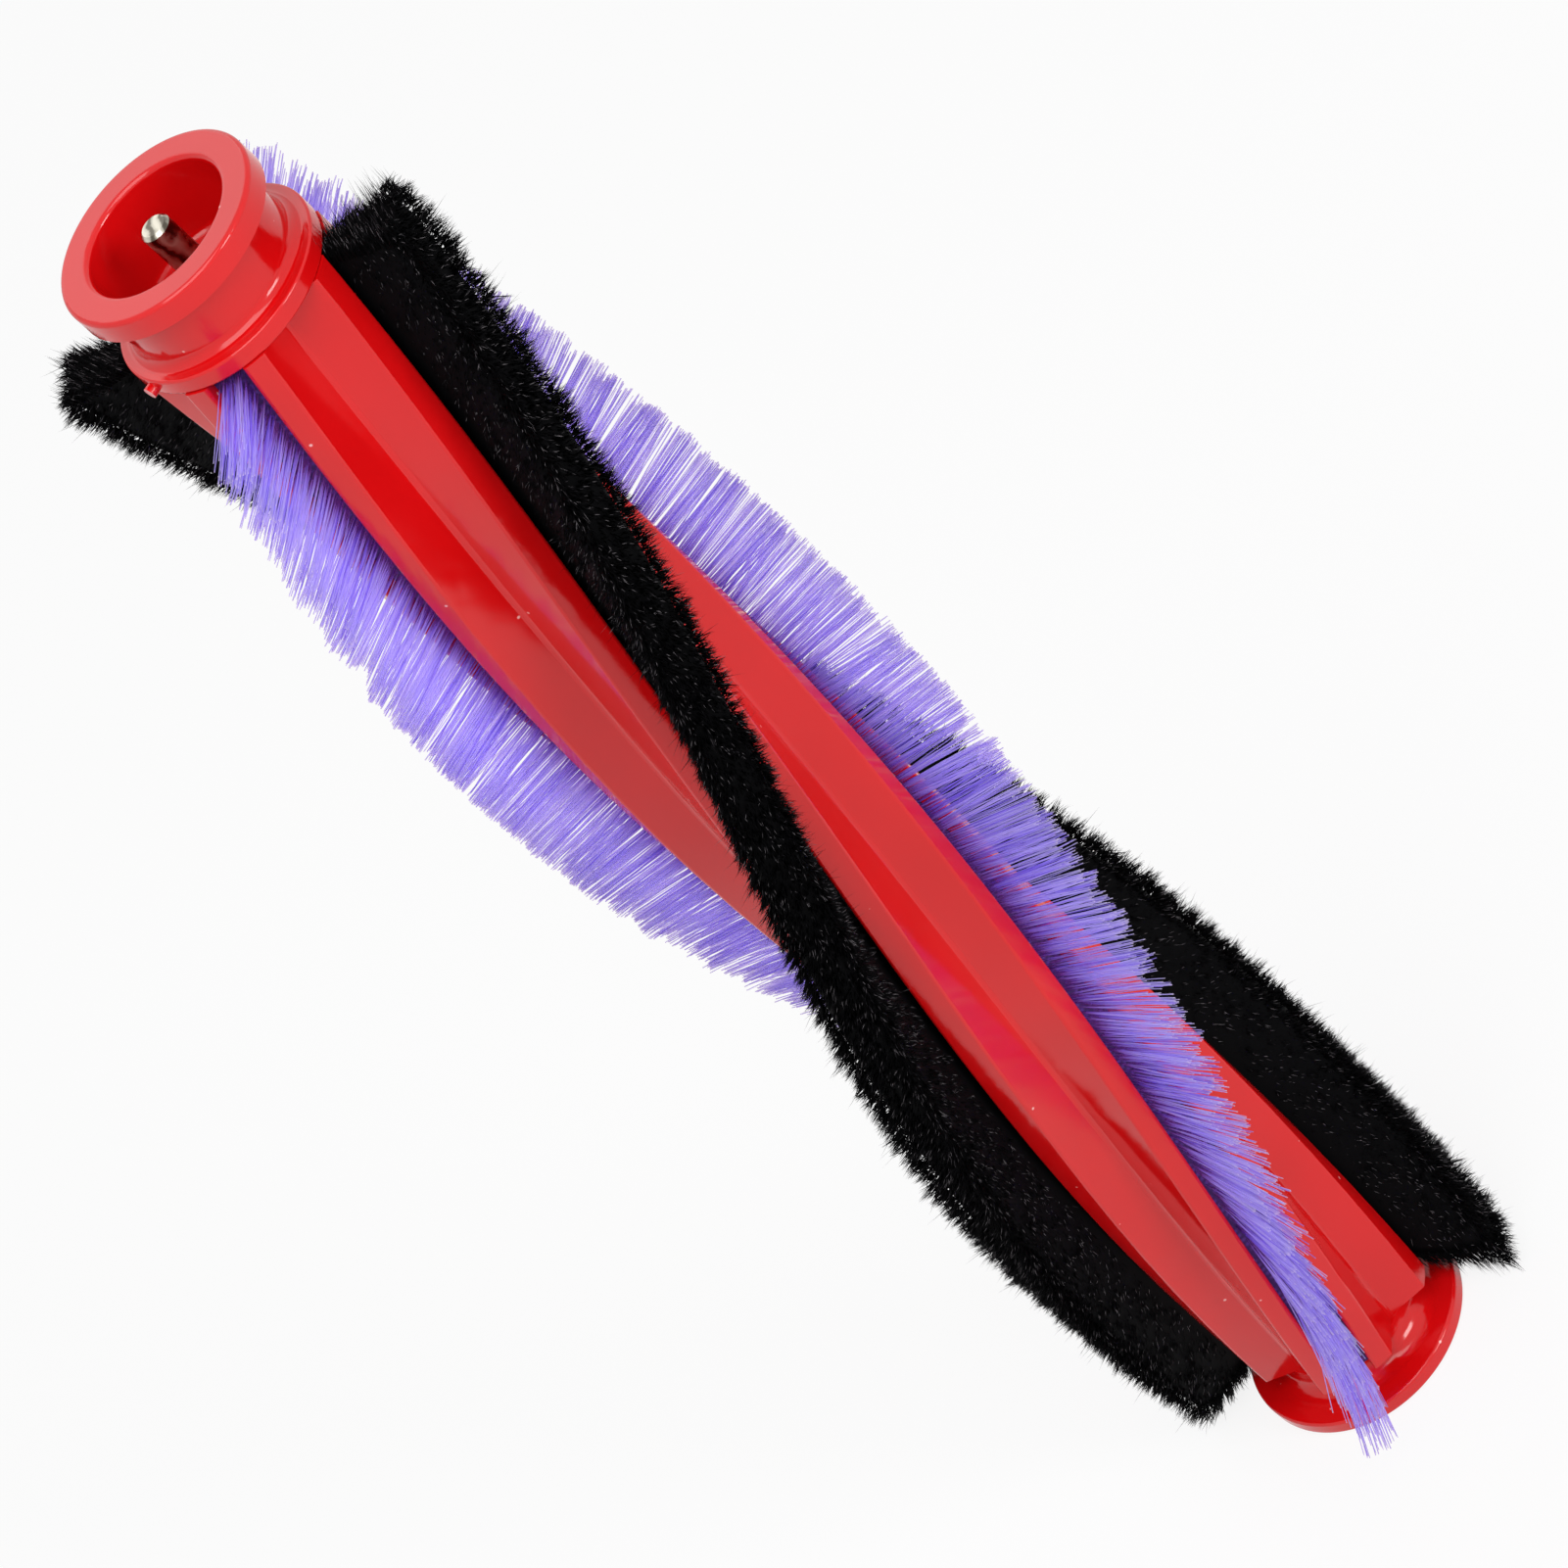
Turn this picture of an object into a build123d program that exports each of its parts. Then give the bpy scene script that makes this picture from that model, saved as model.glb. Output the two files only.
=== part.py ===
"""Vacuum roller brush: a helical slotted core, four bristle strips and an end piece at each end.

The roller stands on its drive disc. Z runs along its axis, from the disc's outer face to the lip of the
bearing cup.
"""
import os
from math import asin, cos, radians, sin

from build123d import *

# The whole roller
roller_length = 225.0  # drive disc's outer face to the lip of the bearing cup
helix_lead = 440.0  # length of the axis in which the strips would go once around it
strip_count = 4  # black and purple strips take turns around the core

# Core: four arms around a hollow middle
core_radius = 12.2  # over the tips of the arms
arm_width = 9.7  # across the corners of an arm's tip
valley_depth = 3.6  # tips of the arms to the bottom of a valley between two of them
valley_fillet = 0.7
lip_edge_fillet = 0.4  # corners of the arms and mouths of the slots
cut_overrun = 1.5  # how far past its far end a cutting profile runs, as a factor

# T-slots along the tips of the arms
slot_depth = 3.8  # tip of an arm to the floor of its slot
slot_floor_wall = 2.2  # floor of a slot to the bore
chamber_height = 1.8
chamber_width = 6.4
black_slot_opening = 3.4
purple_slot_opening = 4.4

# Strips: a flat backing in the slot's chamber and a pile that stands through its mouth
backing_thickness = 1.5
strip_play = 0.15  # around a backing in its chamber
bond_gap = 0.05  # between a backing and the root of its pile
black_mouth_play = 0.3  # each side of the pile in the mouth of its slot
purple_mouth_play = 0.7
black_pile_height = 10.0  # above the tips of the arms
purple_pile_height = 9.6
black_tip_width = 7.8
purple_tip_width = 4.4
pile_crown = 1.2  # rounding of the tips across a strip
foot_splay = 4.5  # how far the tips fan out past the cut end of a strip at the drive disc
head_splay = 0.6  # the same at the collar

# Bearing end piece, from the lip downwards
lip_height = 2.8
lip_step = 1.8  # how far the lip stands out from the neck
lip_edge_round = 0.5
neck_fillet = 1.2
collar_inset = 0.2  # how far the collar stays inside the tips of the arms
collar_step = 2.0  # how far the collar stands out from the neck
collar_front_depth = 9.5  # lip to the front face of the collar
collar_thickness = 2.1
collar_edge_round = 0.3
cup_wall = 1.75  # between the neck and the cup
cup_depth = 9.6
cup_mouth_round = 0.6
cup_floor_fillet = 0.8
gate_mark_diameter = 1.4  # stub that the moulding gate left on the collar
gate_mark_height = 0.8
gate_mark_angle = 38.0

# Spigots of both end pieces in the core's bore
spigot_length = 15.0
spigot_play = 0.05
spigot_lead_in = 0.8

# Axle pin
pin_diameter = 3.45  # of the journal that stands free in the cup
pin_seat_step = 0.375  # how far the seat stands out from the journal
pin_seat_depth = 12.0  # below the floor of the cup
pin_chamfer = 0.35
pin_play = 0.02

# Drive end piece
disc_overhang = 2.0  # how far the disc stands out past the tips of the arms
disc_thickness = 2.1
disc_edge_round = 0.4
shoulder_rise = 0.9  # how far the shoulder stands up past the slots' floors, to stop the strips
shoulder_height = 3.4  # disc's inner face to the foot of the core
cove_fillet = 2.6
drive_socket_sides = 6
drive_socket_flats = 8.0  # across the flats of the socket
drive_socket_depth = 13.0
drive_socket_chamfer = 0.5

# Heights and radii that follow
core_foot = disc_thickness + shoulder_height
collar_front = roller_length - collar_front_depth
collar_back = collar_front - collar_thickness
core_length = collar_back - core_foot
cup_floor = roller_length - cup_depth
pin_foot = cup_floor - pin_seat_depth
valley_radius = core_radius - valley_depth
slot_floor_radius = core_radius - slot_depth
core_bore_radius = slot_floor_radius - slot_floor_wall
spigot_radius = core_bore_radius - spigot_play
collar_radius = core_radius - collar_inset
neck_radius = collar_radius - collar_step
lip_radius = neck_radius + lip_step
cup_bore_radius = neck_radius - cup_wall
pin_seat_radius = pin_diameter / 2 + pin_seat_step
disc_radius = core_radius + disc_overhang
shoulder_radius = slot_floor_radius + shoulder_rise
strip_pitch = 360.0 / strip_count
twist_per_mm = 360.0 / helix_lead

os.makedirs("parts", exist_ok=True)


def twist(start, length):
    """Sweep the pending section up the axis from a start height while it turns with the strips."""
    with BuildLine(mode=Mode.PRIVATE) as axis_line:
        Line((0, 0, start), (0, 0, start + length))
    with BuildLine(mode=Mode.PRIVATE) as guide:
        Helix(pitch=helix_lead, height=length, radius=core_radius, center=(0, 0, start))
    sweep(path=axis_line.line, binormal=guide.edge())


def rings_at(piece, height):
    """Circular edges of a piece at one height, smallest first."""
    circles = piece.edges().filter_by(GeomType.CIRCLE)
    return circles.filter_by_position(Axis.Z, height, height).sort_by(SortBy.RADIUS)


def save(piece, name):
    """Label a finished piece and write it to its own file."""
    piece.part.label = name
    export_step(piece.part, f"parts/{name}.step")


# Core, with its valleys, slots and bore in one section
half_pitch = strip_pitch / 2
corner_angle = radians(half_pitch) - asin(arm_width / 2 / core_radius)
arm_corner = Vector(core_radius * cos(corner_angle), core_radius * sin(corner_angle))
valley_run = (arm_corner - Vector(valley_radius, 0)) * cut_overrun
chamber_radius = slot_floor_radius + chamber_height / 2
mouth_depth = slot_depth * cut_overrun
mouth_radius = chamber_radius + mouth_depth / 2

with BuildPart() as core:
    with BuildSketch(Plane.XY.offset(core_foot)) as section:
        Circle(core_radius)
        with PolarLocations(0, strip_count, start_angle=half_pitch):
            Polygon(
                (valley_radius, 0),
                (valley_radius + valley_run.X, valley_run.Y),
                (valley_radius + valley_run.X, -valley_run.Y),
                align=None,
                mode=Mode.SUBTRACT,
            )
        fillet(section.vertices().group_by(SortBy.DISTANCE)[0], valley_fillet)
        with PolarLocations(mouth_radius, strip_count // 2):
            Rectangle(mouth_depth, black_slot_opening, mode=Mode.SUBTRACT)
        with PolarLocations(mouth_radius, strip_count // 2, start_angle=strip_pitch):
            Rectangle(mouth_depth, purple_slot_opening, mode=Mode.SUBTRACT)
        fillet(section.vertices().group_by(SortBy.DISTANCE)[-1], lip_edge_fillet)
        with PolarLocations(chamber_radius, strip_count):
            Rectangle(chamber_height, chamber_width, mode=Mode.SUBTRACT)
        Circle(core_bore_radius, mode=Mode.SUBTRACT)
    twist(core_foot, core_length)
save(core, "roller_core")

# Bearing end piece: lip, neck and collar around the cup, with a spigot below
with BuildPart() as bearing_cap:
    with BuildSketch(Plane.XZ):
        with BuildLine():
            Polyline(
                (0, collar_back - spigot_length),
                (spigot_radius, collar_back - spigot_length),
                (spigot_radius, collar_back),
                (collar_radius, collar_back),
                (collar_radius, collar_front),
                (neck_radius, collar_front),
                (neck_radius, roller_length - lip_height),
                (lip_radius, roller_length - lip_height),
                (lip_radius, roller_length),
                (cup_bore_radius, roller_length),
                (cup_bore_radius, cup_floor),
                (0, cup_floor),
                close=True,
            )
        make_face()
    revolve(axis=Axis.Z)
    fillet(rings_at(bearing_cap, roller_length)[-1], lip_edge_round)
    fillet(rings_at(bearing_cap, roller_length)[0], cup_mouth_round)
    fillet(rings_at(bearing_cap, collar_front)[0], neck_fillet)
    fillet(rings_at(bearing_cap, collar_front)[-1], collar_edge_round)
    fillet(rings_at(bearing_cap, collar_back)[-1], collar_edge_round)
    fillet(rings_at(bearing_cap, cup_floor), cup_floor_fillet)
    chamfer(rings_at(bearing_cap, collar_back - spigot_length), spigot_lead_in)
    with Locations((0, 0, cup_floor)):
        Hole(pin_seat_radius + pin_play, depth=pin_seat_depth)
    gate_direction = Vector(1, 0, 0).rotate(Axis.Z, gate_mark_angle)
    collar_middle = Vector(0, 0, collar_back + collar_thickness / 2)
    gate_root = collar_middle + gate_direction * (collar_radius - gate_mark_height)
    with BuildSketch(Plane(origin=gate_root, z_dir=gate_direction)):
        Circle(gate_mark_diameter / 2)
    extrude(amount=2 * gate_mark_height)
save(bearing_cap, "bearing_end_cap")

# Axle pin: a thicker seat in the end piece and a journal that ends flush with the lip
with BuildPart() as pin:
    with BuildSketch(Plane.XY.offset(pin_foot)):
        Circle(pin_seat_radius)
    extrude(amount=pin_seat_depth)
    with BuildSketch(Plane.XY.offset(cup_floor)):
        Circle(pin_diameter / 2)
    extrude(amount=cup_depth)
    chamfer(rings_at(pin, pin_foot) + rings_at(pin, roller_length), pin_chamfer)
save(pin, "axle_pin")

# Drive end piece: disc, cove and shoulder, with a hexagonal socket up through the spigot
with BuildPart() as drive_cap:
    with BuildSketch(Plane.XZ):
        with BuildLine():
            Polyline(
                (0, 0),
                (disc_radius, 0),
                (disc_radius, disc_thickness),
                (shoulder_radius, disc_thickness),
                (shoulder_radius, core_foot),
                (spigot_radius, core_foot),
                (spigot_radius, core_foot + spigot_length),
                (0, core_foot + spigot_length),
                close=True,
            )
        make_face()
    revolve(axis=Axis.Z)
    fillet(rings_at(drive_cap, disc_thickness)[0], cove_fillet)
    fillet(rings_at(drive_cap, disc_thickness)[-1], disc_edge_round)
    fillet(rings_at(drive_cap, 0), disc_edge_round)
    chamfer(rings_at(drive_cap, core_foot + spigot_length), spigot_lead_in)
    with BuildSketch():
        RegularPolygon(drive_socket_flats / 2, drive_socket_sides, major_radius=False)
    extrude(amount=drive_socket_depth, mode=Mode.SUBTRACT)
    socket_mouth = drive_cap.edges().filter_by(GeomType.LINE).filter_by_position(Axis.Z, 0, 0)
    chamfer(socket_mouth, drive_socket_chamfer)
save(drive_cap, "drive_end_cap")

# Strips, one behind the other around the core
backing_floor = slot_floor_radius + strip_play
pile_root = backing_floor + backing_thickness + bond_gap
black_root_width = black_slot_opening - 2 * black_mouth_play
purple_root_width = purple_slot_opening - 2 * purple_mouth_play
strip_kinds = {
    "black": (0.0, black_root_width, black_tip_width, black_pile_height),
    "purple": (strip_pitch, purple_root_width, purple_tip_width, purple_pile_height),
}

for colour, (first_angle, root_width, tip_width, pile_height) in strip_kinds.items():
    for number in range(strip_count // 2):
        angle = first_angle + number * 2 * strip_pitch

        with BuildPart() as backing:
            with BuildSketch(Plane.XY.offset(core_foot).rotated((0, 0, angle))):
                with Locations((backing_floor + backing_thickness / 2, 0)):
                    Rectangle(backing_thickness, chamber_width - 2 * strip_play)
            twist(core_foot, core_length)
        save(backing, f"{colour}_backing_{number + 1}")

        tip_radius = core_radius + pile_height
        foot_fan = foot_splay * cut_overrun
        head_fan = head_splay * cut_overrun
        foot_angle = angle - twist_per_mm * foot_fan
        with BuildPart() as pile:
            with BuildSketch(Plane.XY.offset(core_foot - foot_fan).rotated((0, 0, foot_angle))):
                with BuildLine():
                    crown = ThreePointArc(
                        (tip_radius - pile_crown, tip_width / 2),
                        (tip_radius, 0),
                        (tip_radius - pile_crown, -tip_width / 2),
                    )
                    Polyline(
                        crown @ 1,
                        (core_radius, -root_width / 2),
                        (pile_root, -root_width / 2),
                        (pile_root, root_width / 2),
                        (core_radius, root_width / 2),
                        crown @ 0,
                    )
                make_face()
            twist(core_foot - foot_fan, foot_fan + core_length + head_fan)
            with BuildSketch(Plane.XZ):
                with BuildLine():
                    Polyline(
                        (0, core_foot),
                        (core_radius, core_foot),
                        (core_radius + pile_height * cut_overrun, core_foot - foot_fan),
                        (core_radius + pile_height * cut_overrun, collar_back + head_fan),
                        (core_radius, collar_back),
                        (0, collar_back),
                        close=True,
                    )
                make_face()
            revolve(axis=Axis.Z, mode=Mode.INTERSECT)
        save(pile, f"{colour}_pile_{number + 1}")
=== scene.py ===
"""Looks of the vacuum roller brush: red mouldings, a steel pin, black plush and lavender nylon bristles."""
from math import pi, tau

import bmesh
import bpy
import numpy as np
from mathutils import Matrix, Vector


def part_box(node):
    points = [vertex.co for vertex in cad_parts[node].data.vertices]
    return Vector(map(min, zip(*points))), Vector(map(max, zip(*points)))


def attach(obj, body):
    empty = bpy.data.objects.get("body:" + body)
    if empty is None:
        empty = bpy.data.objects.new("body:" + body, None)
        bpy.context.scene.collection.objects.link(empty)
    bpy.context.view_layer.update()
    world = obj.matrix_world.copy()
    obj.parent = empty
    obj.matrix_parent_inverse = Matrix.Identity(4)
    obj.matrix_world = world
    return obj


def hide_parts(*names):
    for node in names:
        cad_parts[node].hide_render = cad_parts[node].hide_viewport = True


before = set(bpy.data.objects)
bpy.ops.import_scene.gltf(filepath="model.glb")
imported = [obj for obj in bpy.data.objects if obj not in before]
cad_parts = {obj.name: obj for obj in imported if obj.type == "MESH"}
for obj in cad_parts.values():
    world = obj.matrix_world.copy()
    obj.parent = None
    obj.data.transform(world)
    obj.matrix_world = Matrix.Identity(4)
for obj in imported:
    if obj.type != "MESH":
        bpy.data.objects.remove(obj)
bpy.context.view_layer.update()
scene = bpy.context.scene
scene.view_settings.view_transform = "Standard"
mm = 0.001

# Sizes that the bristles share with the solids, in millimetres
helix_lead = 440.0
pile_root_radius = 10.1
pile_tip_radius = 22.2
foot_splay = 4.5
head_splay = 0.6
lowest_tip = 0.4
core_low, core_high = (corner.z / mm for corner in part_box("roller_core"))

# Where the photograph was taken from, in millimetres and as directions
camera_place = Vector((-218.3, 528.61, 580.22))
camera_right = Vector((-0.80011, 0.17196, -0.57468))
camera_up = Vector((-0.52199, -0.67163, 0.52577))
camera_back = Vector((-0.29556, 0.72065, 0.62714))
camera_lens = 157.64
camera_sensor = 36.0
roller_middle = Vector((0.0, 0.0, 112.5))


def linear(code):
    """Linear colour of an sRGB hex code."""
    channels = [int(code[at:at + 2], 16) / 255 for at in (1, 3, 5)]
    return [c / 12.92 if c <= 0.04045 else ((c + 0.055) / 1.055) ** 2.4 for c in channels] + [1.0]


def node(tree, kind, values=(), links=(), stops=(), **settings):
    """Add a node with its settings, a ramp's stops, its sockets' values and the outputs that feed them."""
    made = tree.nodes.new(kind)
    for key, value in settings.items():
        setattr(made, key, value)
    for number, (place, code) in enumerate(stops):
        elements = made.color_ramp.elements
        element = elements[number] if number < len(elements) else elements.new(place)
        element.position = place
        element.color = linear(code)
    for socket, value in dict(values).items():
        made.inputs[socket].default_value = value
    for socket, source in dict(links).items():
        tree.links.new(source, made.inputs[socket])
    return made


def new_material(name):
    """An empty material's node tree and its output."""
    material = bpy.data.materials.new(name)
    material.use_nodes = True
    material.node_tree.nodes.clear()
    return material, material.node_tree, material.node_tree.nodes.new("ShaderNodeOutputMaterial")


def per_mm(size):
    """Texture scale whose pattern repeats about every so many millimetres."""
    return 1.0 / (size * mm)


# Moulded ABS, polished tool: deep even red with a clear gloss, a faint ripple and some dust on it
red_material, tree, output = new_material("moulded_red_abs")
place = node(tree, "ShaderNodeTexCoord")
here = {"Vector": place.outputs["Object"]}
flow = node(tree, "ShaderNodeTexNoise", {"Scale": per_mm(24.0), "Detail": 2.0}, here)
tint = node(
    tree,
    "ShaderNodeValToRGB",
    links={"Fac": flow.outputs["Fac"]},
    stops=[(0.35, "#CE090C"), (0.65, "#D60E12")],
)
dust_spots = node(tree, "ShaderNodeTexVoronoi", {"Scale": per_mm(5.0), "Randomness": 1.0}, here)
dust = node(
    tree,
    "ShaderNodeMapRange",
    {"From Min": 0.025, "From Max": 0.045, "To Min": 1.0, "To Max": 0.0},
    {"Value": dust_spots.outputs["Distance"]},
)
dusted = node(tree, "ShaderNodeMix", data_type="RGBA")
dusted.inputs["B"].default_value = linear("#F3B9B4")
ripple = node(tree, "ShaderNodeTexNoise", {"Scale": per_mm(3.0), "Detail": 1.0}, here)
relief = node(
    tree, "ShaderNodeBump", {"Strength": 0.12, "Distance": 0.03 * mm}, {"Height": ripple.outputs["Fac"]}
)
polish = node(tree, "ShaderNodeMapRange", {"To Min": 0.07, "To Max": 0.15}, {"Value": flow.outputs["Fac"]})
gloss = node(
    tree,
    "ShaderNodeBsdfPrincipled",
    {"IOR": 1.53, "Specular IOR Level": 0.41},
    {"Roughness": polish.outputs["Result"], "Normal": relief.outputs["Normal"]},
)
tree.links.new(dust.outputs["Result"], dusted.inputs["Factor"])
tree.links.new(tint.outputs["Color"], dusted.inputs["A"])
tree.links.new(dusted.outputs["Result"], gloss.inputs["Base Color"])
tree.links.new(gloss.outputs["BSDF"], output.inputs["Surface"])

# Drawn steel wire, cropped to length: warm grey metal, smooth along its side, with ridges and dark furrows on
# its torn end
steel_material, tree, output = new_material("drawn_steel")
place = node(tree, "ShaderNodeTexCoord")
ridges = node(
    tree,
    "ShaderNodeTexWave",
    {"Scale": per_mm(5.0), "Distortion": 6.0, "Detail": 3.0, "Detail Scale": 1.5},
    {"Vector": place.outputs["Object"]},
    bands_direction="X",
)
relief = node(
    tree, "ShaderNodeBump", {"Strength": 0.7, "Distance": 0.12 * mm}, {"Height": ridges.outputs["Fac"]}
)
polish = node(tree, "ShaderNodeMapRange", {"To Min": 0.22, "To Max": 0.4}, {"Value": ridges.outputs["Fac"]})
furrow_tint = node(
    tree,
    "ShaderNodeValToRGB",
    links={"Fac": ridges.outputs["Fac"]},
    stops=[(0.05, "#5E594F"), (0.35, "#ABA699"), (0.9, "#CBC6B8")],
)
metal = node(
    tree,
    "ShaderNodeBsdfPrincipled",
    {"Metallic": 1.0},
    {
        "Base Color": furrow_tint.outputs["Color"],
        "Roughness": polish.outputs["Result"],
        "Normal": relief.outputs["Normal"],
    },
)
tree.links.new(metal.outputs["BSDF"], output.inputs["Surface"])


def woven_tape(name, valley, crest):
    """Woven polypropylene tape, calendered: dull, with the crossing of its threads."""
    material, tree, output = new_material(name)
    place = node(tree, "ShaderNodeTexCoord")
    here = {"Vector": place.outputs["Object"]}
    warp = node(tree, "ShaderNodeTexWave", {"Scale": per_mm(3.0)}, here, bands_direction="Z")
    weft = node(tree, "ShaderNodeTexWave", {"Scale": per_mm(3.0)}, here, bands_direction="X")
    weave = node(
        tree, "ShaderNodeMath", links={0: warp.outputs["Fac"], 1: weft.outputs["Fac"]}, operation="MULTIPLY"
    )
    height = weave.outputs["Value"]
    thread = node(tree, "ShaderNodeValToRGB", links={"Fac": height}, stops=[(0.0, valley), (1.0, crest)])
    relief = node(tree, "ShaderNodeBump", {"Strength": 0.5, "Distance": 0.1 * mm}, {"Height": height})
    tape = node(
        tree,
        "ShaderNodeBsdfPrincipled",
        {"Roughness": 0.8},
        {"Base Color": thread.outputs["Color"], "Normal": relief.outputs["Normal"]},
    )
    tree.links.new(tape.outputs["BSDF"], output.inputs["Surface"])
    return material


black_tape_material = woven_tape("black_woven_tape", "#0E0D0F", "#2B292C")
violet_tape_material = woven_tape("violet_woven_tape", "#3B1A5A", "#5E3A92")

# Nylon plush pile, carbon black: deep black without shine, with painted glints: pale specks painted on the outer
# part of some fibres
plush_material, tree, output = new_material("black_nylon_plush")
strand = node(tree, "ShaderNodeUVMap", uv_map="strand")
split = node(tree, "ShaderNodeSeparateXYZ", links={"Vector": strand.outputs["UV"]})
# Random dark tones of the fibres, and at the top of the range a painted highlight for the palest fibres
fibre_tone_and_painted_glint = node(
    tree,
    "ShaderNodeValToRGB",
    links={"Fac": split.outputs["X"]},
    stops=[(0.0, "#030304"), (0.8, "#080709"), (0.88, "#2C2A2E"), (1.0, "#8E888C")],
)
# Painted highlight: the pale glint colour is laid only on the outer part of each fibre, towards its tip
tip_share = node(
    tree, "ShaderNodeMapRange", {"From Min": 0.55, "From Max": 0.75}, {"Value": split.outputs["Y"]}
)
pile_tint_with_painted_glints = node(
    tree,
    "ShaderNodeMix",
    {"A": linear("#030304")},
    {"Factor": tip_share.outputs["Result"], "B": fibre_tone_and_painted_glint.outputs["Color"]},
    data_type="RGBA",
)
fibre = node(
    tree,
    "ShaderNodeBsdfPrincipled",
    {"Roughness": 0.6, "IOR": 1.53, "Specular IOR Level": 0.04},
    {"Base Color": pile_tint_with_painted_glints.outputs["Result"]},
)
tree.links.new(fibre.outputs["BSDF"], output.inputs["Surface"])

# Extruded nylon filament, half clear: lavender before white, purple where red lies behind it and palest at the
# cut tip; at the root, beside the red arms, a painted red reflection and painted shade make it redder and darker
nylon_material, tree, output = new_material("lavender_nylon_filament")
strand = node(tree, "ShaderNodeUVMap", uv_map="strand")
split = node(tree, "ShaderNodeSeparateXYZ", links={"Vector": strand.outputs["UV"]})
# Painted reflected light and shade: red-violet and darker at the root, for the red arms beside it
tint_along_with_painted_root_bounce = node(
    tree,
    "ShaderNodeValToRGB",
    links={"Fac": split.outputs["Y"]},
    stops=[(0.1, "#9E4AAE"), (0.2, "#AE8AEA"), (0.34, "#C4BAFF"), (0.96, "#CBC4FF"), (0.99, "#F0EAFF")],
)
strand_tint = node(
    tree,
    "ShaderNodeValToRGB",
    links={"Fac": split.outputs["X"]},
    stops=[(0.0, "#B4A0F0"), (0.45, "#F8F6FF"), (1.0, "#FFFFFF")],
)
nylon_tint = node(
    tree,
    "ShaderNodeMix",
    {"Factor": 1.0},
    {"A": tint_along_with_painted_root_bounce.outputs["Color"], "B": strand_tint.outputs["Color"]},
    data_type="RGBA",
    blend_type="MULTIPLY",
)
strand_gloss = node(
    tree,
    "ShaderNodeBsdfPrincipled",
    {"Roughness": 0.35, "IOR": 1.53},
    {"Base Color": nylon_tint.outputs["Result"]},
)
strand_body = node(tree, "ShaderNodeBsdfTransparent", {"Color": linear("#F4E6FF")})
strand_mix = node(
    tree, "ShaderNodeMixShader", {0: 0.42}, {1: strand_body.outputs["BSDF"], 2: strand_gloss.outputs["BSDF"]}
)
tree.links.new(strand_mix.outputs["Shader"], output.inputs["Surface"])

# Finish of the solids that stay: the pin is steel, the strips' backings are tape, the rest is red
finishes = {"axle": steel_material, "black": black_tape_material, "purple": violet_tape_material}
for name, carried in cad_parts.items():
    if "pile" not in name:
        carried.data.materials.clear()
        carried.data.materials.append(finishes.get(name.split("_")[0], red_material))


def filament(tip_share, ring_heights):
    """A three-sided filament along Z from 0 to 1, with a radius of 1 at its root."""
    shape = bmesh.new()
    bmesh.ops.create_cone(shape, cap_ends=True, segments=3, radius1=1.0, radius2=tip_share, depth=1.0)
    bmesh.ops.translate(shape, verts=shape.verts, vec=(0, 0, 0.5))
    for height in ring_heights:
        everything = shape.verts[:] + shape.edges[:] + shape.faces[:]
        bmesh.ops.bisect_plane(shape, geom=everything, plane_co=(0, 0, height), plane_no=(0, 0, 1))
    bmesh.ops.remove_doubles(shape, verts=shape.verts, dist=1e-4)
    bmesh.ops.recalc_face_normals(shape, faces=shape.faces)
    mesh = bpy.data.meshes.new("filament")
    shape.to_mesh(mesh)
    shape.free()
    return mesh


def repeated(name, mesh, count):
    """An object with many copies of a mesh, one after the other in its vertices."""
    piece = bpy.data.objects.new(name, mesh)
    scene.collection.objects.link(piece)
    copies = piece.modifiers.new("copies", "ARRAY")
    copies.count = count
    copies.use_relative_offset = False
    whole = bpy.data.meshes.new_from_object(piece.evaluated_get(bpy.context.evaluated_depsgraph_get()))
    piece.modifiers.remove(copies)
    piece.data = whole
    return piece


def coordinates(mesh):
    """Vertices of a mesh as an array."""
    flat = np.empty(3 * len(mesh.vertices), np.float32)
    mesh.vertices.foreach_get("co", flat)
    return flat.reshape(-1, 3).astype(float)


def on_strip(radius, across, height, first_angle):
    """Points beside the winding strip: a distance from the axis, one across the strip and a height."""
    turn = first_angle + tau * (height - core_low) / helix_lead
    x = radius * np.cos(turn) - across * np.sin(turn)
    y = radius * np.sin(turn) + across * np.cos(turn)
    return np.stack([x, y, height], axis=-1)


def unit(vectors):
    """Vectors of length 1."""
    return vectors / np.linalg.norm(vectors, axis=-1, keepdims=True)


def waves(rng, places, longest, shortest, count):
    """A smooth wandering value along the strip, about from -1 to 1."""
    lengths = np.geomspace(longest, shortest, count)
    phases = rng.uniform(0, tau, count)
    swings = [np.sin(tau * places / length + phase) for length, phase in zip(lengths, phases)]
    return sum(swings) / np.sqrt(count)


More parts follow.
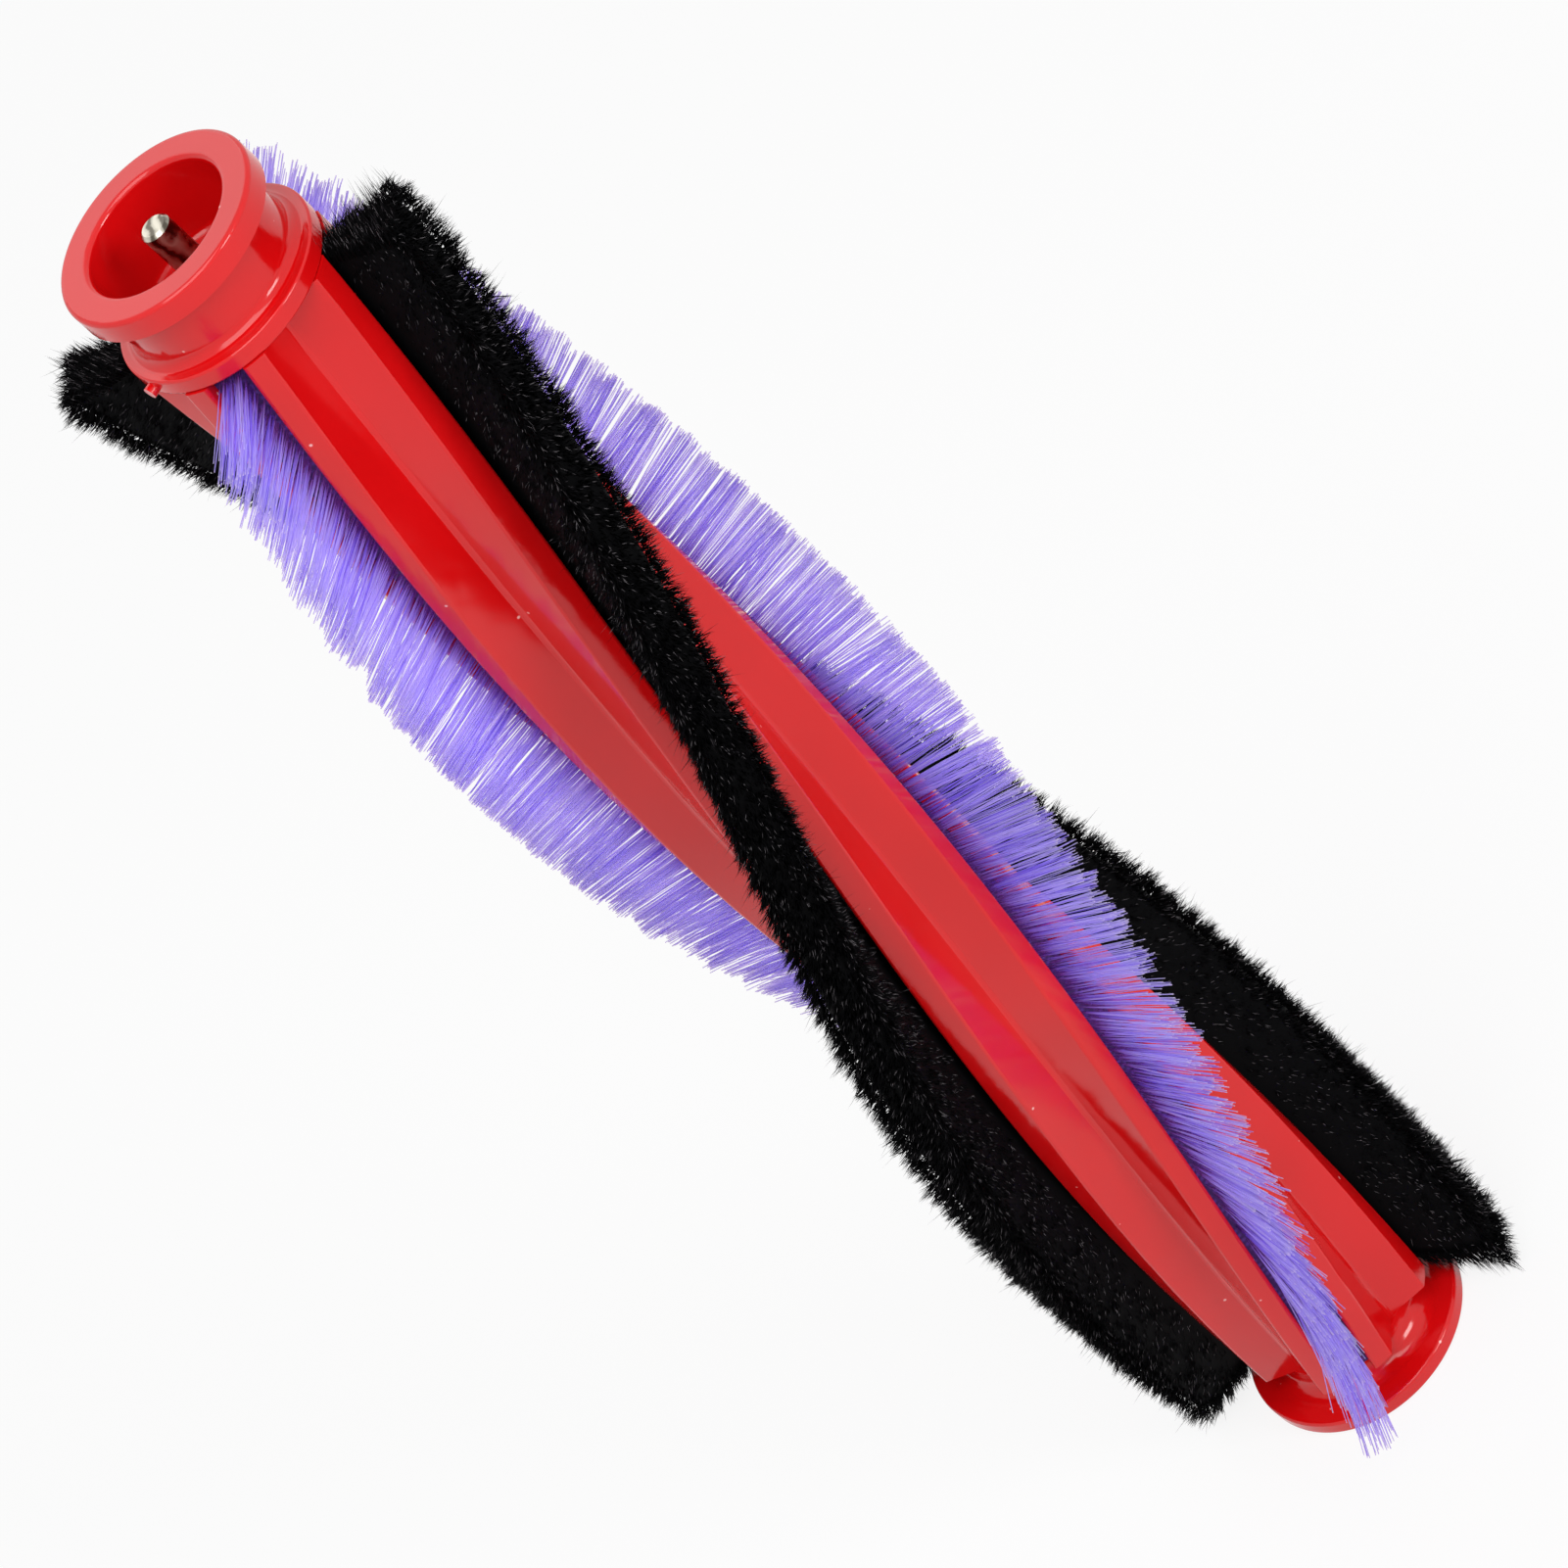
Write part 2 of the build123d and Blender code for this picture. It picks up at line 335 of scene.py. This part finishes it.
def lay_filaments(piece, pattern, root, bend, tip, thickness, shade, rng):
    """Put each copy of the filament on its own curve from root over bend to tip, in millimetres."""
    along = pattern[:, 2]
    radius = np.hypot(pattern[:, 0], pattern[:, 1])
    side = np.arctan2(pattern[:, 1], pattern[:, 0])
    axis = unit(tip - root)
    first = unit(np.cross(axis, (0.0, 0.0, 1.0)))
    second = np.cross(axis, first)
    spin = rng.uniform(0, tau, len(root))[:, None] + side
    t = along[None, :, None]
    middle = (1 - t) ** 2 * root[:, None] + 2 * t * (1 - t) * bend[:, None] + t ** 2 * tip[:, None]
    offset = np.cos(spin)[..., None] * first[:, None] + np.sin(spin)[..., None] * second[:, None]
    points = middle + offset * (thickness[:, None] * radius)[..., None]
    piece.data.vertices.foreach_set("co", (points * mm).astype(np.float32).ravel())
    corners = np.empty(len(piece.data.loops), np.int32)
    piece.data.loops.foreach_get("vertex_index", corners)
    strand, point = np.divmod(corners, len(pattern))
    strand_width = 0.004
    chart = np.stack([shade[strand] + strand_width * np.cos(side[point]), along[point]], axis=1)
    chart = 0.01 + 0.98 * np.clip(chart, 0.0, 1.0)
    layer = piece.data.uv_layers.new(name="strand")
    layer.uv.foreach_set("vector", chart.astype(np.float32).ravel())
    piece.data.shade_smooth()
    piece.data.update()


def fan_ends(points):
    """Spread a row at its two cut ends, where the tips lean out and the corners are worn round."""
    falloff, worn_length, head_wear, foot_wear = 5.0, 4.0, 1.2, 0.4
    x, y, height = np.moveaxis(points, -1, 0)
    radius = np.hypot(x, y)
    share = np.maximum(radius - pile_root_radius, 0.0) / (pile_tip_radius - pile_root_radius)
    from_head = np.maximum(core_high - height, 0.0)
    from_foot = np.maximum(height - core_low, 0.0)
    rise = share * (head_splay * np.exp(-from_head / falloff) - foot_splay * np.exp(-from_foot / falloff))
    head_corner = np.clip(1 - from_head / worn_length, 0.0, 1.0)
    foot_corner = np.clip(1 - from_foot / worn_length, 0.0, 1.0)
    scale = 1 - share * (head_wear * head_corner ** 2 + foot_wear * foot_corner ** 2) / radius
    turn = tau * rise / helix_lead
    return np.stack(
        [
            scale * (x * np.cos(turn) - y * np.sin(turn)),
            scale * (x * np.sin(turn) + y * np.cos(turn)),
            np.maximum(height + rise, lowest_tip),
        ],
        axis=-1,
    )


def plush_lean(radius, height):
    """How far a plush row leans aside, as use has left it: most at the tips and halfway up the roller."""
    middle = np.sin(pi * (height - core_low) / (core_high - core_low)) ** 2
    return np.interp(radius, (13.0, pile_tip_radius), (0.0, -1.0)) * (0.5 + 0.9 * middle)


def plush_body(first_angle):
    """The dense middle of a plush row: its section, swept up by a screw motion, then leant and fanned out."""
    steps, held_back = 120, 1.2
    half_section = [(10.3, 1.1), (12.2, 1.0), (19.2, 2.9), (20.4, 2.6), (21.2, 1.4)]
    section = half_section + [(radius, -across) for radius, across in reversed(half_section)]
    bottom, length = core_low + held_back, core_high - core_low - 2 * held_back
    shape = bmesh.new()
    corners = [shape.verts.new(on_strip(radius, across, bottom, first_angle)) for radius, across in section]
    bmesh.ops.spin(
        shape,
        geom=[shape.faces.new(corners)],
        axis=(0, 0, 1),
        dvec=(0, 0, length / steps),
        angle=tau * length / helix_lead,
        steps=steps,
    )
    bmesh.ops.remove_doubles(shape, verts=shape.verts, dist=1e-3)
    bmesh.ops.recalc_face_normals(shape, faces=shape.faces)
    mesh = bpy.data.meshes.new("plush_body")
    shape.to_mesh(mesh)
    shape.free()
    points = coordinates(mesh)
    radius = np.hypot(points[:, 0], points[:, 1])
    turn = plush_lean(radius, points[:, 2]) / radius
    x = points[:, 0] * np.cos(turn) - points[:, 1] * np.sin(turn)
    y = points[:, 0] * np.sin(turn) + points[:, 1] * np.cos(turn)
    points = fan_ends(np.stack([x, y, points[:, 2]], axis=-1))
    mesh.vertices.foreach_set("co", (points * mm).astype(np.float32).ravel())
    return mesh


def black_row(name, first_angle, seed):
    """A row of dense plush: a black middle, loose and clumped fibres over it, and more on its cut ends."""
    rng = np.random.default_rng(seed)
    loose, clumps, per_clump, end_count, fibre_radius = 27000, 2900, 6, 2200, 0.085
    depth, lean, stray_share = 1.3, 1.1, 0.025
    half = np.array([(12.2, 1.6), (16.5, 3.0), (20.2, 4.1), (21.5, 4.0), (22.3, 3.0), (22.6, 0.0)])
    outline = np.concatenate([half, (half * (1, -1))[-2::-1]])
    sides = np.diff(outline, axis=0)
    lengths = np.linalg.norm(sides, axis=1)
    passed = np.concatenate([[0.0], np.cumsum(lengths)])
    clump = np.repeat(np.arange(clumps), per_clump)

    def spread(amount, number):
        return amount * rng.standard_normal(number)

    def skin(place):
        """Points on the outline of the section, and the way out of it."""
        side = np.searchsorted(passed, place).clip(1, len(sides)) - 1
        along = sides[side] / lengths[side, None]
        outward = np.stack([-along[:, 1], along[:, 0]], axis=1)
        return np.stack([np.interp(place, passed, outline[:, axis]) for axis in (0, 1)], axis=1), outward

    # All over the row: the loose fibres stand as they like, those of a clump lean together into a point
    middle = rng.uniform(0, passed[-1], clumps)
    middle_height = rng.uniform(core_low, core_high, clumps)
    clump_tip = middle + spread(0.25, clumps)
    clump_height = middle_height + spread(0.4, clumps)
    clump_fuzz = np.abs(spread(0.35, clumps))
    clumped = len(clump)
    place = np.concatenate([rng.uniform(0, passed[-1], loose), middle[clump] + spread(0.3, clumped)])
    height = np.concatenate([rng.uniform(core_low, core_high, loose), middle_height[clump] + spread(0.3, clumped)])
    height = np.clip(height, core_low, core_high)
    tip_place = np.concatenate([place[:loose] + spread(0.3, loose), clump_tip[clump] + spread(0.12, clumped)])
    tip_height = np.concatenate([height[:loose] + spread(0.4, loose), clump_height[clump] + spread(0.12, clumped)])
    fuzz = np.concatenate([np.abs(spread(0.15, loose)), clump_fuzz[clump] + spread(0.1, clumped)])
    stray = rng.random(len(fuzz)) < stray_share
    fuzz = np.where(stray, rng.uniform(0.5, 2.2, len(fuzz)), fuzz)
    lumps = waves(rng, height + 0.8 * place, 11.0, 2.6, 5) + waves(rng, height - 1.3 * place, 9.0, 2.1, 5)
    surface, outward = skin(place)
    root = surface - depth * outward
    surface, outward = skin(tip_place)
    tip = surface + (fuzz + 0.2 * lumps)[:, None] * outward
    tip[:, 0] += lean * np.abs(outward[:, 1])

    # On the cut ends
    end = np.where(rng.random(end_count) < 0.5, -1.0, 1.0)
    face = np.where(end < 0, core_low, core_high)
    end_radius = rng.uniform(12.2, 22.2, end_count)
    end_across = rng.uniform(-1, 1, end_count) * np.interp(end_radius, half[:, 0], half[:, 1])
    end_root = np.stack([end_radius - 1.0, 0.9 * end_across], axis=1)
    end_tip = np.stack([end_radius, end_across], axis=1) + spread(0.35, (end_count, 2))
    wisp = rng.random(end_count) < np.where(end < 0, 0.04, 0.2)
    reach = np.where(wisp, rng.uniform(0.6, 2.6, end_count), np.abs(spread(0.3, end_count)))

    root = np.concatenate([root, end_root])
    tip = np.concatenate([tip, end_tip])
    height = np.concatenate([height, face - 1.8 * end])
    tip_height = np.concatenate([tip_height, face + reach * end])
    root[:, 1] += plush_lean(root[:, 0], height)
    tip[:, 1] += plush_lean(tip[:, 0], tip_height)
    root = fan_ends(on_strip(root[:, 0], root[:, 1], height, first_angle))
    tip = fan_ends(on_strip(tip[:, 0], tip[:, 1], tip_height, first_angle))
    shade = rng.random(len(root))
    thickness = fibre_radius * rng.uniform(0.75, 1.15, len(root))
    thickness = thickness * np.where(np.concatenate([stray, wisp]), 0.6, 1.0)
    # Fibres that carry the painted glint colour are a little thicker
    thickness = thickness * np.where(shade > 0.85, 1.2, 1.0)
    shape = filament(0.0, ())
    pattern = coordinates(shape)
    piece = repeated(name, shape, len(root))
    lay_filaments(piece, pattern, root, (root + tip) / 2, tip, thickness, shade, rng)
    whole = bmesh.new()
    whole.from_mesh(piece.data)
    whole.from_mesh(plush_body(first_angle))
    whole.to_mesh(piece.data)
    whole.free()
    piece.data.shade_smooth()
    piece.data.materials.append(plush_material)
    return piece


def purple_row(name, first_angle, seed):
    """A row of stiff filaments in narrow tufts, with blunt cut tips. Being clear, they cast no shadow."""
    rng = np.random.default_rng(seed)
    count, fibre_radius = 3100, 0.085
    tip_radius, tip_width, root_width, crown = 22.3, 4.2, 3.0, 0.5
    end_margin, tuft_pitch, tuft_gap = 0.2, (0.35, 0.95), (0.06, 0.3)
    edges = core_low + end_margin + np.cumsum(rng.uniform(*tuft_pitch, 600))
    edges = edges[edges < core_high - end_margin]
    middles = (edges[1:] + edges[:-1]) / 2
    widths = np.diff(edges) - rng.uniform(*tuft_gap, len(middles))
    tuft = np.searchsorted(np.cumsum(widths) / widths.sum(), (np.arange(count) + 0.5) / count)

    def spread(amount):
        return amount * rng.standard_normal(count)

    def of_tuft(amount):
        return (amount * rng.standard_normal(len(middles)))[tuft]

    middle = middles[tuft]
    across = rng.uniform(-1, 1, count)
    off_middle = rng.uniform(-0.5, 0.5, count) * widths[tuft]
    height = middle + off_middle
    wander = 0.7 * waves(rng, middle, 29.0, 4.0, 6)
    tip_height = height + wander + of_tuft(0.16) + spread(0.07)
    reach = tip_radius - crown * across ** 2 - np.abs(spread(0.3)) - np.abs(of_tuft(0.3))
    sway = spread(0.3) + of_tuft(0.35)
    root = on_strip(np.full(count, pile_root_radius), across * root_width / 2, height, first_angle)
    tip = fan_ends(on_strip(reach, across * tip_width / 2 + sway, tip_height, first_angle))
    bend = (root + tip) / 2 + 0.12 * rng.standard_normal(root.shape)
    thickness = fibre_radius * rng.uniform(0.85, 1.15, count)
    shade = np.clip(0.5 + spread(0.3) + of_tuft(0.2), 0, 1)
    shape = filament(0.8, (0.55,))
    pattern = coordinates(shape)
    piece = repeated(name, shape, count)
    lay_filaments(piece, pattern, root, bend, tip, thickness, shade, rng)
    piece.data.materials.append(nylon_material)
    piece.visible_shadow = False
    return piece


# Rows in the order of the strips around the core, a quarter turn apart
for turn, (kind, number) in enumerate([("black", 1), ("purple", 1), ("black", 2), ("purple", 2)]):
    build = {"black": black_row, "purple": purple_row}[kind]
    row = build(f"{kind}_bristles_{number}", turn * pi / 2, 20 + turn)
    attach(row, "root")
    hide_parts(f"{kind}_pile_{number}")


def seen_directly(tree):
    """1 for what the camera sees itself, in a reflection or through something clear, and 0 for other rays."""
    rays = node(tree, "ShaderNodeLightPath")
    seen = rays.outputs["Is Camera Ray"]
    for kind in ("Is Glossy Ray", "Is Transmission Ray"):
        seen = node(tree, "ShaderNodeMath", links={0: seen, 1: rays.outputs[kind]}, operation="MAXIMUM").outputs[0]
    return seen


# Pale floor, white to the camera and in reflections, with a soft shadow left on it
floor_material, tree, output = new_material("white_studio_floor")
seen = seen_directly(tree)
share = node(tree, "ShaderNodeMath", {1: 0.85}, {0: seen}, operation="MULTIPLY")
paint = node(tree, "ShaderNodeBsdfDiffuse", {"Color": linear("#F0F0F0")})
white = node(tree, "ShaderNodeEmission", {"Color": linear("#FFFFFF"), "Strength": 1.0})
mix = node(tree, "ShaderNodeMixShader", links={0: share.outputs["Value"], 1: paint.outputs["BSDF"]})
tree.links.new(white.outputs["Emission"], mix.inputs[2])
tree.links.new(mix.outputs["Shader"], output.inputs["Surface"])
floor_shape = bmesh.new()
bmesh.ops.create_circle(floor_shape, cap_ends=True, segments=64, radius=4.0)
bmesh.ops.translate(floor_shape, verts=floor_shape.verts, vec=(0, 0, -0.1 * mm))
floor_mesh = bpy.data.meshes.new("studio_floor")
floor_shape.to_mesh(floor_mesh)
floor_shape.free()
floor_mesh.materials.append(floor_material)
floor = bpy.data.objects.new("studio_floor", floor_mesh)
scene.collection.objects.link(floor)

# Studio light: a white room and three soft boxes
world = bpy.data.worlds.new("white_room")
scene.world = world
world.use_nodes = True
tree = world.node_tree
tree.nodes.clear()
room_out = node(tree, "ShaderNodeOutputWorld")
seen = seen_directly(tree)
level = node(tree, "ShaderNodeMapRange", {"To Min": 0.45, "To Max": 1.0}, {"Value": seen})
room = node(tree, "ShaderNodeBackground", {"Color": linear("#FFFFFF")}, {"Strength": level.outputs["Result"]})
tree.links.new(room.outputs["Background"], room_out.inputs["Surface"])


def soft_box(name, direction, distance, width, height, watts):
    """A rectangular lamp that faces the middle of the roller."""
    lamp = bpy.data.lights.new(name, "AREA")
    lamp.shape = "RECTANGLE"
    lamp.size = width * mm
    lamp.size_y = height * mm
    lamp.energy = watts
    holder = bpy.data.objects.new(name, lamp)
    scene.collection.objects.link(holder)
    holder.location = (roller_middle + direction.normalized() * distance) * mm
    holder.rotation_euler = direction.to_track_quat("Z", "Y").to_euler()


left_side = camera_right * -0.42 + camera_up * 0.15 + camera_back * 0.9
back_side = camera_right * -0.72 + camera_up * 0.66 - camera_back * 0.21
right_side = camera_right * 0.5 + camera_up * 0.3 + camera_back * 0.8
soft_box("soft_box_left", left_side, 950.0, 700.0, 800.0, 5.4)
soft_box("soft_box_back", back_side, 1000.0, 600.0, 600.0, 0.9)
soft_box("soft_box_right", right_side, 900.0, 300.0, 300.0, 3.0)

# Camera at the photograph's place
camera_data = bpy.data.cameras.new("photo_camera")
camera_data.sensor_fit = "HORIZONTAL"
camera_data.sensor_width = camera_sensor
camera_data.lens = camera_lens
camera_data.clip_start = 0.01
camera = bpy.data.objects.new("photo_camera", camera_data)
scene.collection.objects.link(camera)
turned = Matrix((camera_right, camera_up, camera_back)).transposed().to_4x4()
camera.matrix_world = Matrix.Translation(camera_place * mm) @ turned
scene.camera = camera
